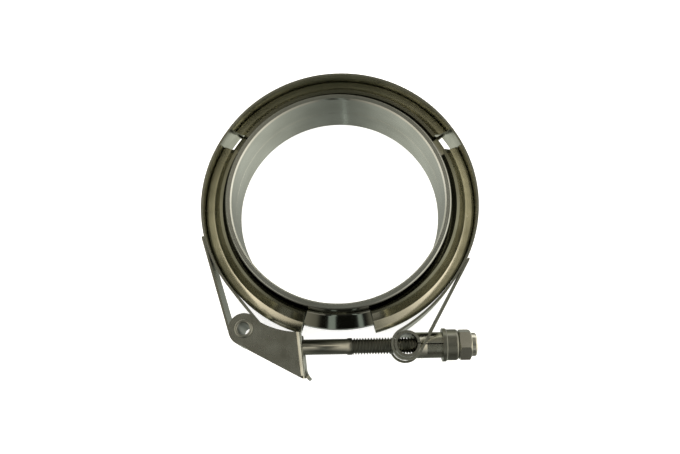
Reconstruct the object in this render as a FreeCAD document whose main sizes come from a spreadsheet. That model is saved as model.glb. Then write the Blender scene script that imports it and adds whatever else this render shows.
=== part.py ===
import FreeCAD, Part
import math
import os

import Sketcher
from FreeCAD import Placement, Rotation, Vector

# A quick-release V-band clamp, latched but not yet tightened, round its pair of weld
# flanges for a 3 inch tube. The loose clamp sits off centre and bows open at its gaps.
# Frame: origin on the tube's axis in the plane where the two flanges meet, +Z along the
# axis, T-bolt parallel to X on the -Y side. Millimetres and degrees.

# ------------------------------------------------------------------ driving dimensions
SIZES = [
    # flanges
    ("bore_radius", 38.15, "socket for a 76.2 mm tube"),
    ("hub_wall", 2.3, "wall of the weld hub"),
    ("rim_width", 5.25, "how far the V rim stands out from the hub"),
    ("rim_half", 1.75, "one flange's thickness at the rim's edge"),
    ("flange_height", 11.9, "joint face to weld end"),
    ("cone_angle", 20.0, "slope of the rim's back"),
    ("hub_blend", 1.4, "fillet between rim and hub"),
    ("mouth_chamfer", 0.5, "chamfers of the weld end"),
    ("seam_chamfer", 0.15, "broken edge of the bore at the joint"),
    ("step_inset", 1.85, "bore to the locating step's inside"),
    ("step_width", 2.6, "width of the locating step"),
    ("step_height", 1.2, "height of the locating step"),
    ("step_clearance", 0.1, "play round the locating step"),
    # V retainers
    ("retainer_sheet", 1.2, "sheet of the V retainers"),
    ("retainer_lip", 4.0, "length of the flared lip"),
    ("lip_angle", 53.0, "lip to the clamp's plane"),
    ("lip_reach", 0.6, "how far inside the rim the lip starts"),
    ("retainer_bend", 1.2, "bend radius at mid sheet"),
    ("cone_seat", 0.3, "play between retainer and rim while the clamp is loose"),
    ("gap_angle", 8.6, "angle between two retainers"),
    ("top_angle", 110.3, "angle of the top retainer"),
    ("turn_angle", 1.3, "top retainer's turn towards the nut"),
    ("right_angle", 102.2, "angle of the nut side retainer"),
    ("left_angle", 102.6, "angle of the latch side retainer"),
    # the loosened clamp lies off centre, and its strap has unbent at the two gaps
    ("clamp_x", 0.55, "tube axis to the middle of the top retainer's curve"),
    ("clamp_y", 1.44, "tube axis to the middle of the top retainer's curve"),
    ("right_open_angle", 0.9, "how far the nut side has swung open"),
    ("left_open_angle", 1.5, "how far the latch side has swung open"),
    # strap
    ("strap_room", 3.5, "rim's outside to the strap's inside"),
    ("strap_sheet", 0.8, "strap thickness"),
    ("strap_width", 14.0, "strap width"),
    ("loop_radius", 4.8, "inside radius of the two end loops"),
    ("loop_clearance", 0.3, "play of barrel and pin in their loops"),
    ("tail_gap", 0.1, "play between tail and ring"),
    ("lap_angle", 3.0, "angle that a tail follows the ring"),
    ("right_slack_angle", 20.0, "how early the strap leaves the ring, nut side"),
    ("left_slack_angle", 2.0, "how early the strap leaves the ring, latch side"),
    ("strap_slot", 11.1, "width of the slot for the trunnion"),
    ("slot_angle", 136.0, "loop angle where the slot starts"),
    ("slot_tail", 13.5, "slot length along the tail"),
    # trunnion
    ("trunnion_x", 23.05, "barrel axis"),
    ("bolt_offset", 1.66, "strap's outside to the T-bolt axis"),
    ("trunnion_sheet", 0.9, "sheet of the trunnion"),
    ("barrel_extra", 0.6, "barrel's height over the strap width"),
    ("neck_length", 7.0, "barrel axis to the round sleeve"),
    ("sleeve_end", 17.1, "barrel axis to the sleeve's end"),
    ("bolt_window", 3.4, "radius of the barrel's hole for the bolt"),
    ("seam_width", 0.4, "slit between the two half sleeves"),
    # collar
    ("collar_radius", 5.4, "outside of the collar"),
    ("collar_wall", 0.9, "collar wall"),
    ("collar_length", 5.5, "collar length"),
    ("collar_lip", 5.8, "radius of the collar's lip"),
    ("collar_lip_length", 1.6, "length of the collar's lip"),
    # T-bolt and nut
    ("thread_radius", 2.95, "M6 thread, crests a little truncated"),
    ("shank_radius", 2.7, "rolled shank"),
    ("thread_start", -20.9, "barrel axis to the first thread"),
    ("bolt_end", 24.2, "barrel axis to the bolt's end"),
    ("head_radius", 3.0, "radius of the T-head's cross bar"),
    ("head_length", 13.0, "length of the T-head's cross bar"),
    ("head_back", 2.9, "how far the T-head stands behind the web"),
    ("nut_gap", 0.1, "collar to nut"),
    ("nut_flats", 9.8, "across the flats of the nut"),
    ("nut_height", 4.5, "height of the hexagon"),
    ("nut_chamfer", 0.35, "how far the chamfers cut into the nut's flats"),
    ("crown_radius", 4.1, "radius of the locking crown"),
    ("crown_height", 1.9, "height of the locking crown"),
    ("nut_thread_play", 0.05, "play of the nut on the thread"),
    ("nut_angle", 16.0, "turn of the nut about the bolt"),
    # latch
    ("pin_x", -33.2, "latch pin axis"),
    ("pin_inset", 4.19, "strap's outside back to the latch pin axis"),
    ("latch_sheet", 1.2, "sheet of the latch"),
    ("cheek_play", 0.3, "strap edge to cheek"),
    ("lobe_radius", 5.4, "round end of the cheeks"),
    ("web_reach", 19.4, "pin axis to the web's outer face, level with the pin"),
    ("lean_angle", 6.5, "lean of the web"),
    ("web_top", -1.4, "upper end of the web from the pin axis"),
    ("latch_drop", 16.2, "lower end of the cheeks below the pin axis"),
    ("slope_angle", 28.0, "slope of the cheeks' lower edge"),
    ("cheek_corner", 1.5, "rounded lower corner of the cheeks"),
    ("cheek_hollow", 27.8, "radius of the cheeks' hollow upper edge"),
    ("lobe_angle", 32.0, "angle where the upper edge meets the round end"),
    ("latch_bend", 1.9, "outer radius of the folds"),
    ("web_slot", 6.4, "width of the web's slot"),
    ("slot_play", 0.35, "T-bolt axis above the centre of the slot's round end"),
    ("tab_width", 12.0, "width of the finger tab"),
    ("tab_start", 12.9, "where the tab leaves the web, below the pin axis"),
    ("tab_slit", 0.4, "slit at each side of the tab"),
    ("tab_bend", 5.5, "inner radius of the tab's bend"),
    ("tab_angle", 35.0, "bend of the tab"),
    ("tab_tip", 1.0, "straight end of the tab"),
    ("tab_corner", 1.5, "rounded corners of the tab"),
    # latch pin
    ("pin_spigot", 2.7, "pin radius in the cheeks"),
    ("pin_hole", 2.1, "bore of the hollow pin"),
    ("pin_head", 3.2, "radius of the rolled heads"),
    ("pin_head_height", 0.6, "height of the rolled heads"),
]


class Size:
    """A number together with the sheet expression that gives it."""

    def __init__(self, value, text=None):
        self.value = value
        self.text = repr(value) if text is None else text

    def _with(self, other, sign, value):
        return Size(value, "(%s %s %s)" % (self.text, sign, other.text))

    def __add__(self, other):
        other = as_size(other)
        return self._with(other, "+", self.value + other.value)

    def __sub__(self, other):
        other = as_size(other)
        return self._with(other, "-", self.value - other.value)

    def __mul__(self, other):
        other = as_size(other)
        return self._with(other, "*", self.value * other.value)

    def __truediv__(self, other):
        other = as_size(other)
        return self._with(other, "/", self.value / other.value)

    def __neg__(self):
        return Size(0.0) - self

    def __radd__(self, other):
        return as_size(other) + self

    def __rsub__(self, other):
        return as_size(other) - self

    def __rmul__(self, other):
        return as_size(other) * self


def as_size(number):
    return number if isinstance(number, Size) else Size(float(number))


def sine(angle):
    return Size(math.sin(math.radians(angle.value)), "sin(%s)" % angle.text)


def cosine(angle):
    return Size(math.cos(math.radians(angle.value)), "cos(%s)" % angle.text)


def tangent(angle):
    return Size(math.tan(math.radians(angle.value)), "tan(%s)" % angle.text)


class Sizes:
    """The spreadsheet: one row for each driving dimension."""

    def __init__(self, document, rows):
        self.sheet = document.addObject("Spreadsheet::Sheet", "Sizes")
        for row, (alias, value, note) in enumerate(rows, start=1):
            self.sheet.set("A%d" % row, alias)
            self.sheet.set("B%d" % row, repr(value))
            self.sheet.setAlias("B%d" % row, alias)
            self.sheet.set("C%d" % row, note)
            setattr(self, alias, Size(value, "Sizes." + alias))
        document.recompute()


doc = FreeCAD.newDocument("v_band_clamp")
s = Sizes(doc, SIZES)
UP = Vector(0, 0, 1)
AXIS = Vector(0, 0, 0)

# ------------------------------------------------------------------ derived sizes
hub_radius = s.bore_radius + s.hub_wall
step_inner = s.bore_radius + s.step_inset
step_outer = step_inner + s.step_width
rim_stand = s.hub_wall + s.rim_width
rim_radius = s.bore_radius + rim_stand
strap_inner = s.bore_radius + (rim_stand + s.strap_room)
strap_outer = strap_inner + s.strap_sheet
bolt_y = -(strap_outer + s.bolt_offset)
pin_y = s.pin_inset - strap_outer
barrel_radius = s.loop_radius - s.loop_clearance
cheek_inner = s.strap_width / 2 + s.cheek_play
cheek_outer = cheek_inner + s.latch_sheet
# along the web's outer face, x falls as y rises
web_slope = tangent(s.lean_angle)
web_across = s.latch_sheet / cosine(s.lean_angle)
bolt_drop = bolt_y - pin_y
seat_x = s.pin_x + s.web_reach - bolt_drop * web_slope - web_across
head_x = seat_x - s.head_back - s.head_radius
collar_start = s.sleeve_end + s.collar_wall - s.collar_length
collar_end = s.sleeve_end + s.collar_wall
nut_start = collar_end + s.nut_gap


# ------------------------------------------------------------------ drawing helpers
def bind(item, prop, size):
    item.setExpression(prop, as_size(size).text)


def new_body(name):
    body = doc.addObject("PartDesign::Body", name)
    body.Label = name
    return body


def base_plane(body, role):
    return next(f for f in body.Origin.OriginFeatures if f.Role == role)


def new_sketch(body, role, name):
    sketch = body.newObject("Sketcher::SketchObject", name)
    sketch.AttachmentSupport = [(base_plane(body, role), "")]
    sketch.MapMode = "FlatFace"
    return sketch


def pin_point(sketch, edge, end, x, y):
    """Fix one point of the sketch at (x, y) from its origin."""
    for kind, size in (("DistanceX", x), ("DistanceY", y)):
        number = sketch.addConstraint(Sketcher.Constraint(kind, -1, 1, edge, end, size.value))
        sketch.setExpression("Constraints[%d]" % number, size.text)


def outline(body, role, name, points, lean=None):
    """A sketch holding one closed outline, its plane turned about Z by lean.

    A third number turns the edge that leaves a point into an arc of that radius, which
    bends to the left, or to the right where the number is negative.
    """
    sketch = new_sketch(body, role, name)
    if lean is not None:
        sketch.AttachmentOffset = Placement(Vector(0, 0, 0), Rotation(Vector(0, 1, 0), 1))
        bind(sketch, "AttachmentOffset.Rotation.Angle", lean)
    corners = [(as_size(point[0]), as_size(point[1])) for point in points]
    radii = [as_size(point[2]) if len(point) > 2 else None for point in points]
    vectors = [Vector(x.value, y.value, 0) for x, y in corners]
    ends = []
    for i, radius in enumerate(radii):
        first, last = vectors[i], vectors[(i + 1) % len(vectors)]
        if radius is None:
            sketch.addGeometry(Part.LineSegment(first, last), False)
            ends.append((1, 2))
            continue
        chord = last - first
        rise = math.sqrt(radius.value ** 2 - chord.Length ** 2 / 4) / chord.Length
        left = Vector(-chord.y, chord.x, 0) * math.copysign(rise, radius.value)
        centre = (first + last) / 2 + left
        spokes = (first - centre, last - centre)
        angles = [math.atan2(spoke.y, spoke.x) for spoke in spokes]
        if radius.value < 0:
            angles.reverse()
        circle = Part.Circle(centre, UP, abs(radius.value))
        sketch.addGeometry(Part.ArcOfCircle(circle, *angles), False)
        ends.append((1, 2) if radius.value > 0 else (2, 1))
    for i, (x, y) in enumerate(corners):
        follower = (i + 1) % len(corners)
        sketch.addConstraint(
            Sketcher.Constraint("Coincident", i, ends[i][1], follower, ends[follower][0]))
        pin_point(sketch, i, ends[i][0], x, y)
    for i, radius in enumerate(radii):
        if radius is not None:
            plain = radius if radius.value > 0 else -radius
            number = sketch.addConstraint(Sketcher.Constraint("Radius", i, plain.value))
            sketch.setExpression("Constraints[%d]" % number, plain.text)
    return sketch


def disc(body, role, name, x, y, radius):
    """A sketch holding one circle."""
    sketch = new_sketch(body, role, name)
    x, y, radius = as_size(x), as_size(y), as_size(radius)
    circle = Part.Circle(Vector(x.value, y.value, 0), UP, radius.value)
    sketch.addGeometry(circle, False)
    pin_point(sketch, 0, 3, x, y)
    number = sketch.addConstraint(Sketcher.Constraint("Radius", 0, radius.value))
    sketch.setExpression("Constraints[%d]" % number, radius.text)
    return sketch


def pad(body, sketch, length, side="Symmetric", reverse=False):
    feature = body.newObject("PartDesign::Pad", "Pad")
    feature.Profile = sketch
    feature.SideType = side
    feature.Reversed = reverse
    bind(feature, "Length", length)
    doc.recompute()
    return feature


def pocket(body, sketch, length, side="Symmetric", reverse=False):
    """Cut a sketch out of the body, and make sure that it removed something."""
    before = body.Shape.Volume
    feature = body.newObject("PartDesign::Pocket", "Pocket")
    feature.Profile = sketch
    feature.SideType = side
    feature.Reversed = reverse
    bind(feature, "Length", length)
    doc.recompute()
    assert body.Shape.Volume < before, body.Label + ": a pocket cut nothing"
    return feature


def turn(body, sketch, axis, kind="PartDesign::Revolution"):
    feature = body.newObject(kind, kind.split("::")[1])
    feature.Profile = sketch
    feature.ReferenceAxis = (sketch, [axis])
    feature.Angle = 360
    doc.recompute()
    return feature


def round_edges(body, chosen, radius, kind="PartDesign::Fillet"):
    """Fillet or chamfer the edges of the body that chosen(edge) picks."""
    doc.recompute()
    base = body.Tip
    names = ["Edge%d" % (i + 1) for i, edge in enumerate(base.Shape.Edges) if chosen(edge)]
    assert names, body.Label + ": no edge to round"
    feature = body.newObject(kind, kind.split("::")[1])
    feature.Base = (base, names)
    bind(feature, "Radius" if kind.endswith("Fillet") else "Size", radius)
    doc.recompute()
    return feature


def near(value, size, tolerance=1e-3):
    return abs(value - as_size(size).value) < tolerance


def is_ring(edge, radius):
    """A circular edge of the given radius."""
    return isinstance(edge.Curve, Part.Circle) and near(edge.Curve.Radius, radius)


def move(item, x, y, z=0, angle=0):
    """Place a sub-part and tie its place to the sheet."""
    item.Placement = Placement(Vector(0, 0, 0), Rotation(UP, angle))
    for axis, size in (("x", x), ("y", y), ("z", z)):
        bind(item, ".Placement.Base." + axis, size)


# ------------------------------------------------------------------ flanges
def flange(name, male):
    """One turned weld flange, joint face down at z = 0, hub up.

    The joint face carries the locating step on one flange and its groove on the other.
    """
    play = Size(0.0) if male else s.step_clearance
    step_in, step_out = step_inner - play, step_outer + play
    step_z = -s.step_height if male else s.step_height + play
    cone_foot = s.rim_half + (rim_radius - hub_radius) * tangent(s.cone_angle)
    body = new_body(name)
    profile = outline(body, "XZ_Plane", name + "_profile", [
        (s.bore_radius, s.seam_chamfer),
        (s.bore_radius + s.seam_chamfer, 0),
        (step_in, 0),
        (step_in, step_z),
        (step_out, step_z),
        (step_out, 0),
        (rim_radius, 0),
        (rim_radius, s.rim_half),
        (hub_radius, cone_foot),
        (hub_radius, s.flange_height - s.mouth_chamfer),
        (hub_radius - s.mouth_chamfer, s.flange_height),
        (s.bore_radius + s.mouth_chamfer, s.flange_height),
        (s.bore_radius, s.flange_height - s.mouth_chamfer),
    ])
    turn(body, profile, "V_Axis")
    round_edges(body, lambda e: is_ring(e, hub_radius) and near(e.CenterOfMass.z, cone_foot),
                s.hub_blend)
    return body


flange_upper = flange("flange_upper", male=False)
flange_lower = flange("flange_lower", male=True)
flange_lower.Placement = Placement(Vector(0, 0, 0), Rotation(Vector(1, 0, 0), 180))


# ------------------------------------------------------------------ sheet sections
# A sheet's section is drawn from its middle line: straight runs and arcs that follow one
# another. An arc turns left where its second angle is the larger one.
def run(start, end):
    return ("run", start, end)


def arc(centre, radius, first, last):
    return ("arc", centre, radius, first, last)


def polar(centre, radius, angle):
    angle = math.radians(angle)
    return centre + Vector(math.cos(angle), math.sin(angle), 0) * radius


def heading(vector):
    return math.degrees(math.atan2(vector.y, vector.x))


def offset_edge(piece, distance):
    """One piece of the middle line, moved to its left by distance."""
    if piece[0] == "run":
        start, end = piece[1:]
        along = (end - start).normalize()
        side = Vector(-along.y, along.x, 0) * distance
        return Part.LineSegment(start + side, end + side).toShape()
    centre, radius, first, last = piece[1:]
    radius = radius - distance if last > first else radius + distance
    angles = (first, (first + last) / 2, last)
    return Part.Arc(*[polar(centre, radius, a) for a in angles]).toShape()


def section(pieces, thickness):
    """The flat face that a sheet of this thickness covers along its middle line."""
    left = [offset_edge(piece, thickness / 2) for piece in pieces]
    right = [offset_edge(piece, -thickness / 2) for piece in pieces]
    ends = [Part.LineSegment(left[k].valueAt(p(left[k])), right[k].valueAt(p(right[k]))).toShape()
            for k, p in ((0, lambda e: e.FirstParameter), (-1, lambda e: e.LastParameter))]
    loop = left + [ends[1]] + right[::-1] + [ends[0]]
    return Part.Face(Part.Wire(Part.__sortEdges__(loop)))


def rounded(points, radius):
    """The middle line through the points, with an arc at each inner corner."""
    pieces, start = [], points[0]
    for before, corner, after in zip(points, points[1:], points[2:]):
        come, go = (corner - before).normalize(), (after - corner).normalize()
        bend = math.atan2(come.x * go.y - come.y * go.x, come.dot(go))
        back = radius * math.tan(abs(bend) / 2)
        side = math.copysign(1, bend)
        first_point, last_point = corner - come * back, corner + go * back
        centre = first_point + Vector(-come.y, come.x, 0) * radius * side
        first = heading(first_point - centre)
        pieces += [run(start, first_point), arc(centre, radius, first, first + math.degrees(bend))]
        start = last_point
    return pieces + [run(start, points[-1])]


# ------------------------------------------------------------------ V retainers
def retainer_face():
    """Section of a V retainer in the XZ plane: base on the strap, two legs, two lips."""
    half = s.retainer_sheet.value / 2
    cone, lip = s.cone_angle.value, s.lip_angle.value
    slope = math.tan(math.radians(cone))
    base = strap_inner.value - half
    bend = rim_radius.value - s.lip_reach.value
    lift = (s.cone_seat.value + half) / math.cos(math.radians(cone))
    leg_z = [s.rim_half.value + (rim_radius.value - r) * slope + lift for r in (base, bend)]
    corner, fold = Vector(base, leg_z[0], 0), Vector(bend, leg_z[1], 0)
    tip = polar(fold, s.retainer_lip.value, 180 - lip)
    upper = [tip, fold, corner]
    lower = [Vector(p.x, -p.y, 0) for p in reversed(upper)]
    face = section(rounded(upper + lower, s.retainer_bend.value), s.retainer_sheet.value)
    face.rotate(Vector(0, 0, 0), Vector(1, 0, 0), 90)
    return face


retainer_section = doc.addObject("Part::Feature", "retainer_section")
retainer_section.Shape = retainer_face()


def mirrored(point):
    return Vector(-point.x, point.y, 0)


# ------------------------------------------------------------------ the ring's curve
ring_middle = (strap_inner + s.strap_sheet / 2).value
loop_middle = (s.loop_radius + s.strap_sheet / 2).value
tail_middle = ring_middle + s.strap_sheet.value + s.tail_gap.value
top_centre = Vector(s.clamp_x.value, s.clamp_y.value, 0)


class Side:
    """One side of the ring, worked out as if it were the +X side.

    The strap runs on from the top retainer, unbends by opened over the gap, and then
    follows the side's own retainer about a centre that has moved outwards.
    """

    def __init__(self, centre, top_end, opened):
        self.start = 90 - top_end
        self.end = self.start - s.gap_angle.value + opened
        flatter = ring_middle * s.gap_angle.value / (s.gap_angle.value - opened)
        gap_centre = centre + polar(AXIS, ring_middle - flatter, self.start)
        self.centre = gap_centre + polar(AXIS, flatter - ring_middle, self.end)
        self.gap = arc(gap_centre, flatter, self.start, self.end)

    def middle(self, span):
        return self.end - span.value / 2

    def strap(self, loop_centre, slack):
        """The strap from the gap to the tip of its tail.

        It eases off the ring in an arc of larger radius, curls back round the loop's
        centre and returns as a straight tail that lies against the ring.
        """
        centre = loop_centre - self.centre
        reach = centre.Length
        touch = ring_middle + loop_middle
        leave = heading(centre) + math.degrees(math.acos(touch / reach)) + slack.value
        outward = polar(AXIS, 1, leave)
        extra = (reach ** 2 - touch ** 2) / (2 * (touch - centre.dot(outward)))
        ease_centre = self.centre - outward * extra
        meet = heading(loop_centre - ease_centre)
        climb = heading(-centre) - math.degrees(math.asin((tail_middle - loop_middle) / reach))
        tail_foot = polar(loop_centre, loop_middle, climb - 90)
        tail_top = polar(self.centre, tail_middle, climb - 90)
        return [
            self.gap,
            arc(self.centre, ring_middle, self.end, leave),
            arc(ease_centre, ring_middle + extra, leave, meet),
            arc(loop_centre, loop_middle, meet + 180, climb + 270),
            run(tail_foot, tail_top),
            arc(self.centre, tail_middle, climb - 90, climb - 90 + s.lap_angle.value),
        ]


top_half = s.top_angle.value / 2
right = Side(top_centre, top_half + s.turn_angle.value, s.right_open_angle.value)
left = Side(mirrored(top_centre), top_half - s.turn_angle.value, s.left_open_angle.value)


def retainer(name, centre, middle, span):
    """A V retainer rolled about a centre, its middle at an angle from +X."""
    part = doc.addObject("Part::Revolution", name)
    part.Label = name
    part.Source = retainer_section
    part.Axis = UP
    part.Solid = True
    part.Symmetric = True
    bind(part, "Angle", span)
    part.Placement = Placement(centre, Rotation(UP, middle))
    return part


retainer_top = retainer("retainer_top", top_centre, 90 - s.turn_angle.value, s.top_angle)
retainer_right = retainer(
    "retainer_right", right.centre, right.middle(s.right_angle), s.right_angle)
retainer_left = retainer(
    "retainer_left", mirrored(left.centre), 180 - left.middle(s.left_angle), s.left_angle)

# ------------------------------------------------------------------ strap
def swap_sides(pieces):
    """The same pieces on the -X side, run through in the opposite direction."""
    result = []
    for piece in reversed(pieces):
        if piece[0] == "run":
            result.append(run(mirrored(piece[2]), mirrored(piece[1])))
        else:
            centre, radius, first, last = piece[1:]
            result.append(arc(mirrored(centre), radius, 180 - last, 180 - first))
    return result


barrel_centre = Vector(s.trunnion_x.value, bolt_y.value, 0)
pin_centre = Vector(s.pin_x.value, pin_y.value, 0)
right_end = right.strap(barrel_centre, s.right_slack_angle)
left_end = left.strap(mirrored(pin_centre), s.left_slack_angle)
top_arc = arc(top_centre, ring_middle, 180 - left.start, right.start)


def raised(face, height):
    """The face made into a solid of this height, half above and half below z = 0."""
    face.translate(Vector(0, 0, -height / 2))
    return face.extrude(Vector(0, 0, height))


strip = doc.addObject("Part::Feature", "strap_strip")
strip.Shape = raised(section(swap_sides(left_end) + [top_arc] + right_end, s.strap_sheet.value),
                     s.strap_width.value)

# The slot lets the T-bolt in, and the trunnion's sleeve out through the tail.
loop_arc, tail_run = right_end[3], right_end[4]
slot_along = (tail_run[2] - tail_run[1]).normalize() * s.slot_tail.value
slot_line = [
    arc(barrel_centre, loop_middle, s.slot_angle.value, loop_arc[4]),
    run(tail_run[1], tail_run[1] + slot_along),
]
slot_cutter = doc.addObject("Part::Feature", "strap_slot")
slot_cutter.Shape = raised(section(slot_line, 3 * s.strap_sheet.value), s.strap_slot.value)

strap = doc.addObject("Part::Cut", "strap")
strap.Label = "strap"
strap.Base = strip
strap.Tool = slot_cutter


# ------------------------------------------------------------------ trunnion
def shape(kind, name, **sizes):
    """A Part primitive whose sizes are tied to the sheet."""
    item = doc.addObject(kind, name)
    for prop, size in sizes.items():
        bind(item, prop, size)
    return item


ALONG_X = Rotation(Vector(0, 1, 0), 90)


def lay_along_x(item, start):
    """Point a primitive along the bolt, starting at a distance from the barrel's axis."""
    item.Placement = Placement(Vector(0, 0, 0), ALONG_X)
    bind(item, ".Placement.Base.x", s.trunnion_x + start)
    bind(item, ".Placement.Base.y", bolt_y)
    return item


def trunnion_form(name, inset):
    """Barrel, neck and sleeve as one solid, drawn in from the outside by inset."""
    radius = barrel_radius - inset
    half = s.strap_width / 2 + s.barrel_extra / 2
    barrel = shape("Part::Cylinder", name + "_barrel", Radius=radius, Height=half * 2)
    move(barrel, s.trunnion_x, bolt_y, -half)
    wide = shape("Part::Ellipse", name + "_wide", MajorRadius=half - inset, MinorRadius=radius)
    lay_along_x(wide, Size(0.0))
    narrow = shape("Part::Circle", name + "_narrow", Radius=radius)
    lay_along_x(narrow, s.neck_length)
    neck = doc.addObject("Part::Loft", name + "_neck")
    neck.Sections = [wide, narrow]
    neck.Solid = True
    sleeve = shape("Part::Cylinder", name + "_sleeve", Radius=radius,
                   Height=s.sleeve_end - s.neck_length)
    lay_along_x(sleeve, s.neck_length)
    form = doc.addObject("Part::MultiFuse", name)
    form.Shapes = [barrel, neck, sleeve]
    return form


trunnion_outside = trunnion_form("trunnion_outside", Size(0.0))
trunnion_inside = trunnion_form("trunnion_inside", s.trunnion_sheet)
window = shape("Part::Cylinder", "trunnion_window", Radius=s.bolt_window,
               Height=s.loop_radius * 2)
lay_along_x(window, -(s.loop_radius * 2))
seam = shape("Part::Box", "trunnion_seam", Length=s.sleeve_end * 2, Width=s.seam_width,
             Height=s.strap_width * 2)
move(seam, s.trunnion_x, bolt_y - s.seam_width / 2, -s.strap_width)
hollow = doc.addObject("Part::MultiFuse", "trunnion_hollow")
hollow.Shapes = [trunnion_inside, window, seam]
trunnion = doc.addObject("Part::Cut", "trunnion")
trunnion.Label = "trunnion"
trunnion.Base = trunnion_outside
trunnion.Tool = hollow

# ------------------------------------------------------------------ collar
collar = new_body("collar")
turn(collar, outline(collar, "XY_Plane", "collar_profile", [
    (collar_start, barrel_radius),
    (s.sleeve_end, barrel_radius),
    (s.sleeve_end, s.bolt_window),
    (collar_end, s.bolt_window),
    (collar_end, s.collar_radius),
    (collar_start + s.collar_lip_length, s.collar_radius),
    (collar_start + s.collar_lip_length - (s.collar_lip - s.collar_radius), s.collar_lip),
    (collar_start, s.collar_lip),
]), "H_Axis")
round_edges(collar, lambda e: is_ring(e, s.collar_radius) and near(e.CenterOfMass.x, collar_end),
            s.collar_wall * 0.9)
move(collar, s.trunnion_x, bolt_y)

# ------------------------------------------------------------------ T-bolt
END_CHAMFER = Size(0.6)
t_bolt = new_body("t_bolt")
head_local = head_x - s.trunnion_x
turn(t_bolt, outline(t_bolt, "XY_Plane", "bolt_profile", [
    (head_local, 0),
    (head_local, s.shank_radius),
    (s.thread_start, s.shank_radius),
    (s.thread_start + (s.thread_radius - s.shank_radius), s.thread_radius),
    (s.bolt_end - END_CHAMFER, s.thread_radius),
    (s.bolt_end, s.thread_radius - END_CHAMFER),
    (s.bolt_end, 0),
]), "H_Axis")
pad(t_bolt, disc(t_bolt, "XY_Plane", "head_circle", head_local, 0, s.head_radius),
    s.head_length)
round_edges(t_bolt, lambda e: is_ring(e, s.head_radius) and abs(e.CenterOfMass.z) > 1,
            END_CHAMFER)
move(t_bolt, s.trunnion_x, bolt_y)

# ------------------------------------------------------------------ lock nut
nut = new_body("lock_nut")
nut_bore = s.thread_radius + s.nut_thread_play
nut_corner = s.nut_flats / 2 / cosine(Size(30.0))
hex_end = nut_start + s.nut_height
crown_end = hex_end + s.crown_height
hexagon = outline(nut, "YZ_Plane", "nut_hexagon", [
    (nut_corner * sine(Size(60.0 * k) - s.nut_angle), nut_corner * cosine(Size(60.0 * k) - s.nut_angle))
    for k in range(6)])
bind(hexagon, ".AttachmentOffset.Base.z", nut_start)
pad(nut, hexagon, s.nut_height, side="One side")
# both ends of the hexagon are turned off at 30 degrees
chamfer_radius = s.nut_flats / 2 - s.nut_chamfer
clear_radius = nut_corner * 2 - chamfer_radius
corner_fall = (nut_corner - chamfer_radius) * tangent(Size(30.0))
for name, face_x, inward in (("nut_face", nut_start, corner_fall), ("nut_back", hex_end, -corner_fall)):
    cut = outline(nut, "XY_Plane", name, [
        (face_x, chamfer_radius),
        (face_x + inward * 2, clear_radius),
        (face_x - inward, clear_radius),
        (face_x - inward, chamfer_radius),
    ])
    turn(nut, cut, "H_Axis", kind="PartDesign::Groove")
crown = disc(nut, "YZ_Plane", "nut_crown", 0, 0, s.crown_radius)
bind(crown, ".AttachmentOffset.Base.z", hex_end)
pad(nut, crown, s.crown_height, side="One side")
round_edges(nut, lambda e: is_ring(e, s.crown_radius) and near(e.CenterOfMass.x, crown_end),
            s.crown_height / 3)
pocket(nut, disc(nut, "YZ_Plane", "nut_bore", 0, 0, nut_bore), crown_end * 2)
move(nut, s.trunnion_x, bolt_y)

# ------------------------------------------------------------------ latch
latch = new_body("latch")


def web_x(y, inset=0):
    """Outer face of the web at height y, drawn in by inset towards the pin."""
    return s.web_reach - y * web_slope - inset


# the cheek's lower edge leaves the lobe as a tangent and turns into the level bottom
touch_x = -s.lobe_radius * sine(s.slope_angle)
touch_y = -s.lobe_radius * cosine(s.slope_angle)
corner_x = touch_x + (s.latch_drop + touch_y) / tangent(s.slope_angle)
corner_back = s.cheek_corner * tangent(s.slope_angle / 2)
pad(latch, outline(latch, "XY_Plane", "cheek_outline", [
    (touch_x, touch_y),
    (corner_x - corner_back * cosine(s.slope_angle),
     corner_back * sine(s.slope_angle) - s.latch_drop, s.cheek_corner),
    (corner_x + corner_back, -s.latch_drop),
    (web_x(-s.latch_drop), -s.latch_drop),
    (web_x(s.web_top), s.web_top, -s.cheek_hollow),
    (s.lobe_radius * cosine(s.lobe_angle), s.lobe_radius * sine(s.lobe_angle), s.lobe_radius),
    (-s.lobe_radius, 0, s.lobe_radius),
]), cheek_outer * 2)

# everything outside the folded sheet's U is cut away along the leaning web
FAR = Size(60.0)
web_back = s.web_reach * cosine(s.lean_angle)
web_front = web_back - s.latch_sheet
pocket(latch, outline(latch, "XZ_Plane", "u_outside", [
    (-FAR, -cheek_outer),
    (web_back - s.latch_bend, -cheek_outer, s.latch_bend),
    (web_back, s.latch_bend - cheek_outer),
    (web_back, cheek_outer - s.latch_bend, s.latch_bend),
    (web_back - s.latch_bend, cheek_outer),
    (-FAR, cheek_outer), (-FAR, FAR), (FAR, FAR), (FAR, -FAR), (-FAR, -FAR),
], lean=s.lean_angle), FAR * 2)
inner_bend = s.latch_bend - s.latch_sheet
pocket(latch, outline(latch, "XZ_Plane", "u_inside", [
    (-FAR, -cheek_inner),
    (web_front - inner_bend, -cheek_inner, inner_bend),
    (web_front, inner_bend - cheek_inner),
    (web_front, cheek_inner - inner_bend, inner_bend),
    (web_front - inner_bend, cheek_inner),
    (-FAR, cheek_inner),
], lean=s.lean_angle), FAR * 2)

# the slot is open towards the ring and ends in a half circle
slot_half = s.web_slot / 2
slot_floor = bolt_drop - s.slot_play
pocket(latch, outline(latch, "YZ_Plane", "bolt_slot", [
    (slot_floor, -slot_half), (FAR, -slot_half), (FAR, slot_half),
    (slot_floor, slot_half, slot_half), (slot_floor - slot_half, 0, slot_half),
]), FAR * 2)

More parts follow.
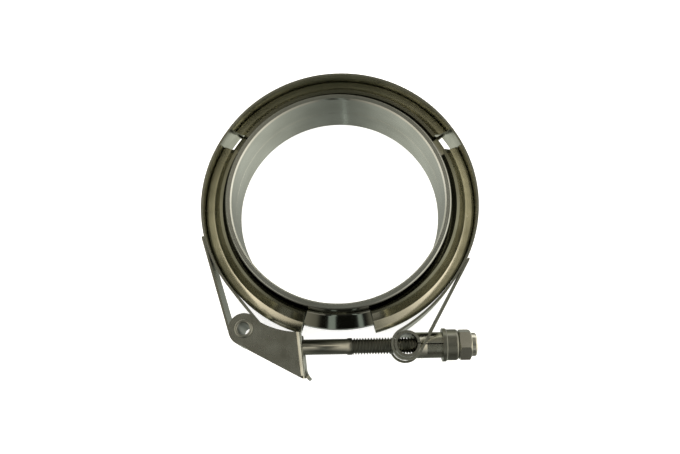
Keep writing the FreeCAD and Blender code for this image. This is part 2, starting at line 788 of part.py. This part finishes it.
# the finger tab is the web's own sheet, freed at both sides and bent outwards
tab_half = s.tab_width / 2
tab_side = tab_half + s.tab_slit
pocket(latch, outline(latch, "YZ_Plane", "tab_relief", [
    (-s.tab_start, -tab_side), (-s.tab_start, tab_side), (-FAR, tab_side), (-FAR, -tab_side),
]), FAR * 2)
tab_turn = s.lean_angle + s.tab_angle
bend_x = web_x(-s.tab_start) + s.tab_bend * cosine(s.lean_angle)
bend_y = s.tab_bend * sine(s.lean_angle) - s.tab_start
outer_bend = s.tab_bend + s.latch_sheet


def on_bend(radius, angle, beyond=0):
    """A point at this radius of the tab's bend, and beyond its end along the tab."""
    return (bend_x - radius * cosine(angle) + beyond * sine(angle),
            bend_y - radius * sine(angle) - beyond * cosine(angle))


root = on_bend(s.tab_bend, s.lean_angle, -s.latch_sheet)
pad(latch, outline(latch, "XY_Plane", "tab_section", [
    on_bend(outer_bend, s.lean_angle, -s.latch_sheet),
    on_bend(outer_bend, s.lean_angle) + (outer_bend,),
    on_bend(outer_bend, tab_turn),
    on_bend(outer_bend, tab_turn, s.tab_tip),
    on_bend(s.tab_bend, tab_turn, s.tab_tip),
    on_bend(s.tab_bend, tab_turn) + (-s.tab_bend,),
    on_bend(s.tab_bend, s.lean_angle),
    root,
]), s.tab_width)
tip_y = on_bend(s.tab_bend, tab_turn, s.tab_tip)[1]
round_edges(latch, lambda e: near(e.Length, s.latch_sheet) and e.CenterOfMass.y < tip_y.value + 0.1,
            s.tab_corner)
PIN_PLAY = Size(0.05)
pocket(latch, disc(latch, "XY_Plane", "pin_holes", 0, 0, s.pin_spigot + PIN_PLAY), FAR)
move(latch, s.pin_x, pin_y)

# ------------------------------------------------------------------ latch pin
latch_pin = new_body("latch_pin")
shoulder = cheek_inner - PIN_PLAY
head_under = cheek_outer + PIN_PLAY
head_top = head_under + s.pin_head_height
half_profile = [
    (s.pin_hole, head_top), (s.pin_head, head_top), (s.pin_head, head_under),
    (s.pin_spigot, head_under), (s.pin_spigot, shoulder), (barrel_radius, shoulder),
]
pin_profile = half_profile + [(r, -z) for r, z in reversed(half_profile)]
turn(latch_pin, outline(latch_pin, "XZ_Plane", "pin_profile", pin_profile), "V_Axis")
round_edges(latch_pin, lambda e: near(abs(e.CenterOfMass.z), head_top),
            s.pin_head_height * 0.8)
move(latch_pin, s.pin_x, pin_y)

# ------------------------------------------------------------------ check and write
NODES = [
    strap, retainer_top, retainer_right, retainer_left, flange_upper, flange_lower,
    trunnion, collar, t_bolt, nut, latch, latch_pin,
]
doc.recompute()
for item in doc.Objects:
    assert not {"Invalid", "Error"} & set(item.State), item.Label + " did not build"
os.makedirs("parts", exist_ok=True)
for item in NODES:
    assert not item.Shape.isNull() and item.Shape.isValid(), item.Label + " is not a valid shape"
    item.Shape.exportStep("parts/%s.step" % item.Label)
    print("%-16s %9.2f mm3, %d solid(s)" % (item.Label, item.Shape.Volume, len(item.Shape.Solids)))
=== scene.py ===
import bmesh
import bpy
import math
from mathutils import Matrix, Vector


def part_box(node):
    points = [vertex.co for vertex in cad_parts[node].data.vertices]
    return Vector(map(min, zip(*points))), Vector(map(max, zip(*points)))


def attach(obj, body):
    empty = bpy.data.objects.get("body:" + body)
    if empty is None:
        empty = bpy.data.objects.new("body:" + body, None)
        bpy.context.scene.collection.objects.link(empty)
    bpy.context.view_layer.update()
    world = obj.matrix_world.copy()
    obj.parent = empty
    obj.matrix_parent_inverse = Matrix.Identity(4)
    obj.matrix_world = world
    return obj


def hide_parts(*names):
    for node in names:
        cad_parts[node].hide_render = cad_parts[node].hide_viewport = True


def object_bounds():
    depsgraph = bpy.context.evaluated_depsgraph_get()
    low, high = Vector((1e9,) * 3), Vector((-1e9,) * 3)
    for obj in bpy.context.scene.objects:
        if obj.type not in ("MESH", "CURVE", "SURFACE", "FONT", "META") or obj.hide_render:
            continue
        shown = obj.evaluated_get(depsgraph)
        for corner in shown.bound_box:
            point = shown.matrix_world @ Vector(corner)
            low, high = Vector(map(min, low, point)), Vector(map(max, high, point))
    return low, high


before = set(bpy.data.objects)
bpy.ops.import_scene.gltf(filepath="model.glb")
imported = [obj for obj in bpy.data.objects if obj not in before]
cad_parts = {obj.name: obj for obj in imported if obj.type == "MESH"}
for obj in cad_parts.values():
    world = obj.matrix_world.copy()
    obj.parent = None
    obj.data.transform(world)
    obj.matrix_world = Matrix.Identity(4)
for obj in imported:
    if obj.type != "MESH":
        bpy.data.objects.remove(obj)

CAD_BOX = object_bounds()
MM = 0.001


# ------------------------------------------------------------------ nodes and colours
def linear(hex_colour):
    """A colour from its sRGB hex value, with alpha."""
    parts = [int(hex_colour[i:i + 2], 16) / 255 for i in (1, 3, 5)]
    return [p / 12.92 if p <= 0.04045 else ((p + 0.055) / 1.055) ** 2.4 for p in parts] + [1.0]


def add(tree, kind, settings=None, **inputs):
    """Add a node. An input is named i0, i1 and so on by its place, or by its own name, and
    takes a value or the output of another node."""
    node = tree.nodes.new(kind)
    for name, value in (settings or {}).items():
        setattr(node, name, value)
    for name, value in inputs.items():
        by_place = name[0] == "i" and name[1:].isdigit()
        socket = node.inputs[int(name[1:]) if by_place else name.replace("_", " ")]
        if isinstance(value, bpy.types.NodeSocket):
            tree.links.new(value, socket)
        else:
            socket.default_value = value
    return node


def blank_material(name):
    material = bpy.data.materials.new(name)
    material.use_nodes = True
    material.node_tree.nodes.clear()
    return material, material.node_tree


# ------------------------------------------------------------------ stainless steels
RING_REACH = 45.0           # mm: where streaks that run round the ring have their true length
MARK_SHARE = 0.2            # how much the fine marks tint the steel, next to its patches
PATCHES = (0.4, 0.8)        # the part of the patches' noise that shows
WEAR = (1.15, 0.9)          # roughness in the dull and in the bright patches
LIP_BLEND = 0.1             # mm: half the width of the change to a smoother outside with painted shade
# painted shade: the darker colour beyond the hub's outer wall stands in for the shade in the
# recess under the retainers
HUB_PAINTED_SHADE_TONE = "#8d8f86"
HUB_OUTSIDE = (40.2, 0.07)  # mm and roughness: from just inside the hub's outer wall outwards


def round_marks(tree, place, flat, reach, grain, length):
    """Noise drawn out round the Z axis: its four axes are the direction from the axis (two),
    the distance from it, and the height."""
    ray = add(tree, "ShaderNodeVectorMath", {"operation": "NORMALIZE"}, i0=flat).outputs[0]
    ray = add(tree, "ShaderNodeSeparateXYZ", Vector=ray).outputs
    lap = [add(tree, "ShaderNodeMath", {"operation": "MULTIPLY"}, i0=part,
               i1=RING_REACH / (grain * length)).outputs[0] for part in ray[:2]]
    across = add(tree, "ShaderNodeMath", {"operation": "MULTIPLY"}, i0=reach,
                 i1=1 / (grain * MM)).outputs[0]
    height = add(tree, "ShaderNodeSeparateXYZ", Vector=place).outputs[2]
    height = add(tree, "ShaderNodeMath", {"operation": "MULTIPLY"}, i0=height,
                 i1=1 / (grain * MM)).outputs[0]
    lay = add(tree, "ShaderNodeCombineXYZ", X=lap[0], Y=lap[1], Z=across).outputs[0]
    return add(tree, "ShaderNodeTexNoise", {"noise_dimensions": "4D"}, Vector=lay, W=height,
               Scale=1.0, Detail=2.0, Roughness=0.5)


def metal(name, tone, dark, roughness, grain, stretch, bump_depth, cloud_size=9.0, spread=0.0,
          turn=0.0, outside=None, round_ring=False):
    """A stainless steel whose finish runs in one direction.

    grain is the spacing of its marks in mm, stretch how much longer than wide they are
    along (x, y, z), bump_depth their depth in mm and cloud_size the size in mm of the
    patches where the finish is a little duller. spread and turn draw out its highlights.
    outside is (radius in mm, roughness) where a turned part is smoother beyond that radius,
    and its colour is darkened there as painted shade. With round_ring the marks run round
    the Z axis, and stretch is their (length, 1, 1).
    """
    material, tree = blank_material(name)
    place = add(tree, "ShaderNodeTexCoord").outputs["Object"]
    flat = add(tree, "ShaderNodeVectorMath", {"operation": "MULTIPLY"}, i0=place,
               i1=(1, 1, 0)).outputs[0]
    reach = add(tree, "ShaderNodeVectorMath", {"operation": "LENGTH"}, i0=flat).outputs["Value"]
    if round_ring:
        marks = round_marks(tree, place, flat, reach, grain, stretch[0])
    else:
        fit = add(tree, "ShaderNodeMapping", Vector=place,
                  Scale=[1 / (grain * MM * s) for s in stretch])
        marks = add(tree, "ShaderNodeTexNoise", Vector=fit.outputs[0], Scale=1.0, Detail=3.0,
                    Roughness=0.6)
    cloud = add(tree, "ShaderNodeTexNoise", Vector=place, Scale=1 / (cloud_size * MM), Detail=2.0,
                Roughness=0.5)
    mix = add(tree, "ShaderNodeMath", {"operation": "MULTIPLY_ADD"}, i0=marks.outputs[0],
              i1=MARK_SHARE, i2=cloud.outputs[0])
    shade = add(tree, "ShaderNodeMapRange", Value=mix.outputs[0], From_Min=PATCHES[0],
                From_Max=PATCHES[1])
    tint = add(tree, "ShaderNodeMix", {"data_type": "RGBA"}, Factor=shade.outputs[0],
               i6=linear(dark), i7=linear(tone)).outputs[2]
    rough = add(tree, "ShaderNodeMapRange", Value=mix.outputs[0], From_Min=PATCHES[0],
                From_Max=PATCHES[1], To_Min=roughness * WEAR[0], To_Max=roughness * WEAR[1])
    if outside:
        radius, smooth = outside
        beyond = add(tree, "ShaderNodeMapRange", Value=reach,
                     From_Min=(radius - LIP_BLEND) * MM,
                     From_Max=(radius + LIP_BLEND) * MM).outputs[0]
        rough = add(tree, "ShaderNodeMapRange", Value=beyond, To_Min=rough.outputs[0],
                    To_Max=smooth)
        # painted shade: beyond the radius the colour turns darker
        tint = add(tree, "ShaderNodeMix", {"data_type": "RGBA"}, Factor=beyond, i6=tint,
                   i7=linear(HUB_PAINTED_SHADE_TONE)).outputs[2]
    bump = add(tree, "ShaderNodeBump", Height=marks.outputs[0], Strength=1.0,
               Distance=bump_depth * MM)
    shader = add(tree, "ShaderNodeBsdfPrincipled", Metallic=1.0, Roughness=rough.outputs[0],
                 Base_Color=tint, Normal=bump.outputs[0])
    if spread:
        tangent = add(tree, "ShaderNodeTangent", {"direction_type": "RADIAL", "axis": "Z"})
        tree.links.new(tangent.outputs[0], shader.inputs["Tangent"])
        shader.inputs["Anisotropic"].default_value = spread
        shader.inputs["Anisotropic Rotation"].default_value = turn
    add(tree, "ShaderNodeOutputMaterial", Surface=shader.outputs[0])
    return material


# Rolled stainless strip: satin and greenish grey. Its rolling marks are drawn coarser than
# the real ones, which are too fine to show.
strap_steel = metal("satin_rolled_stainless_strip", tone="#c2c3b6", dark="#a6a799",
                    roughness=0.24, grain=0.5, stretch=(30, 1, 1), bump_depth=0.0006,
                    round_ring=True)
# Roll-formed stainless: long soft streaks where the rolls have polished it.
retainer_steel = metal("roll_formed_stainless", tone="#d0cfc0", dark="#adad9d",
                       roughness=0.2, grain=0.7, stretch=(30, 1, 1), bump_depth=0.0006,
                       cloud_size=14.0, round_ring=True)
# Turned stainless: rings of tool marks round the bore draw its highlights out along the
# axis. The hub's outside and the rim are turned finer; their darker colour is painted shade.
turned_steel = metal("fine_turned_stainless", tone="#cdcfc7", dark="#b4b6ad",
                     roughness=0.21, grain=0.45, stretch=(90, 1, 1), bump_depth=0.0006,
                     cloud_size=20.0, spread=0.8, turn=0.25, outside=HUB_OUTSIDE,
                     round_ring=True)
# Pressed stainless sheet: satin, with faint draw marks from the press.
sheet_steel = metal("pressed_stainless_sheet", tone="#c0c1b6", dark="#94958a",
                    roughness=0.26, grain=1.0, stretch=(1, 9, 3), bump_depth=0.0012,
                    cloud_size=6.0)
# Rolled stainless bar: smooth and a little darker.
bolt_steel = metal("rolled_stainless_bolt", tone="#9b9d95", dark="#84867d",
                   roughness=0.3, grain=0.4, stretch=(12, 1, 1), bump_depth=0.001)
# Machined stainless: bright and clean.
nut_steel = metal("machined_stainless_nut", tone="#e6e6dd", dark="#d0d0c6",
                  roughness=0.22, grain=0.3, stretch=(1, 6, 6), bump_depth=0.0015)

FINISH = {
    "strap": strap_steel,
    "retainer_top": retainer_steel,
    "retainer_right": retainer_steel,
    "retainer_left": retainer_steel,
    "flange_upper": turned_steel,
    "flange_lower": turned_steel,
    "trunnion": sheet_steel,
    "latch": sheet_steel,
    "collar": bolt_steel,
    "latch_pin": bolt_steel,
    "t_bolt": bolt_steel,
    "lock_nut": nut_steel,
}
for node, material in FINISH.items():
    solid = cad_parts[node].data
    solid.materials.clear()
    solid.materials.append(material)


# ------------------------------------------------------------------ the T-bolt's thread
NUT_LOW, NUT_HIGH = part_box("lock_nut")
BOLT_Y = (NUT_LOW[1] + NUT_HIGH[1]) / 2
BOLT_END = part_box("t_bolt")[1][0]
PITCH = 1.0 * MM                # M6 x 1
CREST = 2.95 * MM               # radius over the ridges
ROOT = 2.36 * MM                # radius between them
THREAD_REACH = 36.2 * MM        # from the trunnion's outer end back to the first turn
THREAD_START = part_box("trunnion")[1][0] - THREAD_REACH
POINT = 0.3 * MM                # the last turn ends this far inside the bolt's end
TURN_STEPS = 28
SPARE_TURNS = 1.5               # spun before the first turn, for the cut to trim
THREAD_WELD = 2e-6              # m: doubled corners along the thread are closed within this
SOLID_WELD = 1e-6               # m: the same for the solid's loose triangles
ON_CUT = 1e-7                   # m: corners this near a cut lie on it
SHANK_EDGE, THREAD_EDGE = 35, 20    # degrees: sharper edges than this stay sharp


def as_piece(name, mesh, edge_angle):
    """Make a piece of the bolt from a bmesh, in the bolt's steel and on its body."""
    data = bpy.data.meshes.new(name)
    mesh.to_mesh(data)
    mesh.free()
    data.materials.append(bolt_steel)
    data.shade_smooth()
    data.set_sharp_from_angle(angle=math.radians(edge_angle))
    piece = bpy.data.objects.new(name, data)
    bpy.context.collection.objects.link(piece)
    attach(piece, "t_bolt")
    return piece


def cut_off(mesh, x, keep_right):
    """Cut the mesh square to the bolt at x and close the cut."""
    geometry = mesh.verts[:] + mesh.edges[:] + mesh.faces[:]
    cut = bmesh.ops.bisect_plane(mesh, geom=geometry, plane_co=(x, 0, 0), plane_no=(1, 0, 0),
                                 dist=ON_CUT, clear_outer=not keep_right, clear_inner=keep_right)
    rim = [e for e in cut["geom_cut"] if isinstance(e, bmesh.types.BMEdge) and e.is_boundary]
    bmesh.ops.edgeloop_fill(mesh, edges=rim)


def thread():
    """One pitch of the thread's outline, spun and drawn along the bolt turn by turn."""
    mesh = bmesh.new()
    # (pitches along the bolt, radius)
    ridge = [(0.0, ROOT), (0.2, ROOT), (0.5, CREST), (0.66, CREST), (0.96, ROOT), (1.0, ROOT)]
    first = THREAD_START - PITCH * SPARE_TURNS
    corners = [mesh.verts.new((first + PITCH * along, BOLT_Y, radius)) for along, radius in ridge]
    edges = [mesh.edges.new(pair) for pair in zip(corners, corners[1:])]
    turns = round((BOLT_END - first) / PITCH) + 2       # past the bolt's end, to be cut off
    bmesh.ops.spin(mesh, geom=corners + edges, cent=(first, BOLT_Y, 0), axis=(1, 0, 0),
                   dvec=(PITCH / TURN_STEPS, 0, 0), angle=math.tau * turns,
                   steps=TURN_STEPS * turns, use_merge=False, use_duplicate=False)
    bmesh.ops.remove_doubles(mesh, verts=mesh.verts, dist=THREAD_WELD)
    cut_off(mesh, THREAD_START, keep_right=True)
    cut_off(mesh, BOLT_END - POINT, keep_right=False)
    bmesh.ops.recalc_face_normals(mesh, faces=mesh.faces)
    return mesh


def bolt_blank():
    """Head and plain shank, taken over from the solid and cut where the thread starts."""
    mesh = bmesh.new()
    mesh.from_mesh(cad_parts["t_bolt"].data)
    bmesh.ops.remove_doubles(mesh, verts=mesh.verts, dist=SOLID_WELD)
    cut_off(mesh, THREAD_START, keep_right=False)
    return mesh


shank = as_piece("t_bolt_shank", bolt_blank(), SHANK_EDGE)
ridges = as_piece("t_bolt_thread", thread(), THREAD_EDGE)
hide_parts("t_bolt")
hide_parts("t_bolt")


# ------------------------------------------------------------------ studio
FLOOR_SIZE, FLOOR_DROP = 6.0, 0.2 * MM
FLOOR_GLOW = 0.75


def floor():
    """A plain pale floor, bright enough to fade out round the part."""
    lowest = CAD_BOX[0][2]
    bpy.ops.mesh.primitive_plane_add(size=FLOOR_SIZE, location=(0, 0, lowest - FLOOR_DROP))
    plane = bpy.context.object
    plane.name = "floor"
    material, tree = blank_material("plain_pale_floor")
    shader = add(tree, "ShaderNodeBsdfPrincipled", Base_Color=linear("#fdfdfb"), Roughness=1.0)
    shader.inputs["Specular IOR Level"].default_value = 0.0
    shader.inputs["Emission Color"].default_value = linear("#ffffff")
    shader.inputs["Emission Strength"].default_value = FLOOR_GLOW
    add(tree, "ShaderNodeOutputMaterial", Surface=shader.outputs[0])
    plane.data.materials.append(material)
    plane.visible_glossy = False


# what a bright surface sees on each side: the direction the side faces, and its ladder of
# (elevation in degrees, colour, strength)
SIDES = {
    "north": ((0, 1, 0), [
        (-90, "#e6ece0", 0.26), (-32, "#e8e8da", 0.26), (-8, "#fffaee", 0.5),
        (3, "#fffaee", 1.5), (17, "#fffaee", 1.3), (27, "#e9e8d2", 0.18),
        (60, "#e6e6d2", 0.14), (74, "#eeeee2", 0.25), (90, "#eeeee2", 0.25)]),
    "south": ((0, -1, 0), [
        (-90, "#e6ece0", 0.32), (-70, "#e6ece0", 0.3), (-40, "#e8e8da", 0.12),
        (-15, "#eeeede", 0.2), (-3, "#e6e6ce", 0.06), (24, "#e6e6ce", 0.07),
        (30, "#fffaee", 0.5), (38, "#fffaee", 0.5), (46, "#e6e6ce", 0.16),
        (63, "#e6e6ce", 0.2), (78, "#eeeee2", 0.05), (90, "#eeeee2", 0.25)]),
    "east": ((1, 0, 0), [
        (-90, "#e6ece0", 0.42), (-50, "#f2f4e8", 0.95), (-18, "#fff8ea", 0.9),
        (15, "#fffaf0", 1.7), (32, "#fff4e2", 1.2), (54, "#fff4e2", 1.9),
        (67, "#eeeee2", 0.12), (90, "#eeeee2", 0.25)]),
    "west": ((-1, 0, 0), [
        (-90, "#e6ece0", 0.42), (-50, "#f2f4e8", 0.95), (-18, "#e6e6ce", 0.07),
        (-2, "#e6e6ce", 0.3), (15, "#fffaf0", 1.5), (30, "#fff4e2", 1.4),
        (52, "#fff2df", 2.3), (67, "#eeeee2", 0.12), (90, "#eeeee2", 0.25)]),
}
# narrow strip lights towards the T-bolt's side: (x of the direction, half width, softness,
# strength, above or below)
STRIPS = [(-0.078, 0.024, 0.006, 0.75, "above"), (0.118, 0.016, 0.006, 0.75, "above"),
          (-0.072, 0.003, 0.003, 1.2, "below")]
STRIP_COLOUR = "#e2eee6"
# a dark card behind the upper strips hides the studio from x = -half width to half width:
# (x of the direction, half width, softness, strength)
CARD = (0.0, 0.17, 0.02, 0.92)
# where strips and card fade in: directions by y towards the T-bolt, by z up and down
BOLT_SIDE, UPPER, LOWER = (-0.22, -0.3), (0.3, 0.5), (-0.6, -0.8)


def scaled(tree, colour, share):
    return add(tree, "ShaderNodeVectorMath", {"operation": "SCALE"}, i0=colour,
               Scale=share).outputs[0]


def added(tree, lights):
    """The sum of the lights."""
    total = lights[0]
    for light in lights[1:]:
        total = add(tree, "ShaderNodeVectorMath", {"operation": "ADD"}, i0=total,
                    i1=light).outputs[0]
    return total


def side_light(tree, flat, height, facing, ladder):
    """One side's ladder of light, strongest where a direction faces that side."""
    steps = add(tree, "ShaderNodeValToRGB", Fac=height)
    ramp = steps.color_ramp.elements
    while len(ramp) < len(ladder):
        ramp.new(0.5)
    for stop, (elevation, colour, strength) in zip(ramp, ladder):
        stop.position = (elevation + 90) / 180
        stop.color = [c * strength for c in linear(colour)[:3]] + [1.0]
    share = add(tree, "ShaderNodeVectorMath", {"operation": "DOT_PRODUCT"}, i0=flat,
                i1=facing).outputs["Value"]
    share = add(tree, "ShaderNodeMath", {"operation": "MAXIMUM"}, i0=share, i1=0.0).outputs[0]
    share = add(tree, "ShaderNodeMath", {"operation": "POWER"}, i0=share, i1=2.0).outputs[0]
    return scaled(tree, steps.outputs[0], share)


def soft_step(tree, value, start, end, strength=1.0):
    return add(tree, "ShaderNodeMapRange", {"interpolation_type": "SMOOTHSTEP"}, Value=value,
               From_Min=start, From_Max=end, To_Max=strength).outputs[0]


def band(tree, x, middle, half, softness, strength, *levels):
    """A soft-edged band of directions about x = middle, faded by each of the levels."""
    off = add(tree, "ShaderNodeMath", {"operation": "SUBTRACT"}, i0=x, i1=middle).outputs[0]
    off = add(tree, "ShaderNodeMath", {"operation": "ABSOLUTE"}, i0=off).outputs[0]
    glow = soft_step(tree, off, half + softness, half - softness, strength)
    for level in levels:
        glow = add(tree, "ShaderNodeMath", {"operation": "MULTIPLY"}, i0=glow,
                   i1=level).outputs[0]
    return glow


def studio_world():
    """A soft box studio: four sides, a dark card and three narrow strips of light."""
    world = bpy.data.worlds.new("studio")
    bpy.context.scene.world = world
    world.use_nodes = True
    tree = world.node_tree
    tree.nodes.clear()
    ray = add(tree, "ShaderNodeTexCoord").outputs["Generated"]
    x, y, z = add(tree, "ShaderNodeSeparateXYZ", Vector=ray).outputs
    # elevation as 0 to 1 from straight down to straight up
    height = add(tree, "ShaderNodeMath", {"operation": "ARCSINE"}, i0=z).outputs[0]
    height = add(tree, "ShaderNodeMapRange", Value=height, From_Min=-math.pi / 2,
                 From_Max=math.pi / 2).outputs[0]
    flat = add(tree, "ShaderNodeVectorMath", {"operation": "MULTIPLY"}, i0=ray,
               i1=(1, 1, 0)).outputs[0]
    flat = add(tree, "ShaderNodeVectorMath", {"operation": "NORMALIZE"}, i0=flat).outputs[0]
    lights = [side_light(tree, flat, height, facing, ladder)
              for facing, ladder in SIDES.values()]
    towards_bolt = soft_step(tree, y, *BOLT_SIDE)
    level = {"above": soft_step(tree, z, *UPPER), "below": soft_step(tree, z, *LOWER)}
    hidden = band(tree, x, *CARD, towards_bolt, level["above"])
    left = add(tree, "ShaderNodeMath", {"operation": "SUBTRACT"}, i0=1.0, i1=hidden).outputs[0]
    total = scaled(tree, added(tree, lights), left)
    strips = [scaled(tree, linear(STRIP_COLOUR)[:3],
                     band(tree, x, *strip, towards_bolt, level[where]))
              for *strip, where in STRIPS]
    background = add(tree, "ShaderNodeBackground", Color=added(tree, [total] + strips),
                     Strength=1.0)
    add(tree, "ShaderNodeOutputWorld", Surface=background.outputs[0])


CAMERA_PLACE = Vector((5.20, -76.82, 246.7)) * MM
CAMERA_RIGHT, CAMERA_UP = Vector((0.9976, 0.0698, 0.0)), Vector((-0.0672, 0.9606, 0.2700))
CAMERA_ROLL = -5.04             # degrees
SENSOR, LENS = 36.0, 36.66      # mm


def camera():
    """Looks steeply down from the T-bolt's side."""
    data = bpy.data.cameras.new("camera")
    data.sensor_width = SENSOR
    data.lens = LENS
    data.clip_start = 0.01
    roll = math.radians(CAMERA_ROLL)
    right = CAMERA_RIGHT * math.cos(roll) + CAMERA_UP * math.sin(roll)
    up = CAMERA_UP * math.cos(roll) - CAMERA_RIGHT * math.sin(roll)
    turn = Matrix((right, up, right.cross(up))).transposed().to_4x4()
    item = bpy.data.objects.new("camera", data)
    item.matrix_world = Matrix.Translation(CAMERA_PLACE) @ turn
    bpy.context.collection.objects.link(item)
    bpy.context.scene.camera = item


CEILING_SIZE, CEILING_HEIGHT, CEILING_POWER = 1.6, 1.4, 12.0    # m, m, W


def ceiling_light():
    """Lights the floor evenly and stays out of the reflections."""
    data = bpy.data.lights.new("ceiling_light", "AREA")
    data.shape = "DISK"
    data.size = CEILING_SIZE
    data.energy = CEILING_POWER
    item = bpy.data.objects.new("ceiling_light", data)
    item.location = (0.0, 0.0, CEILING_HEIGHT)
    item.visible_glossy = False
    bpy.context.collection.objects.link(item)


floor()
studio_world()
ceiling_light()
camera()
bpy.context.scene.view_settings.view_transform = "Standard"
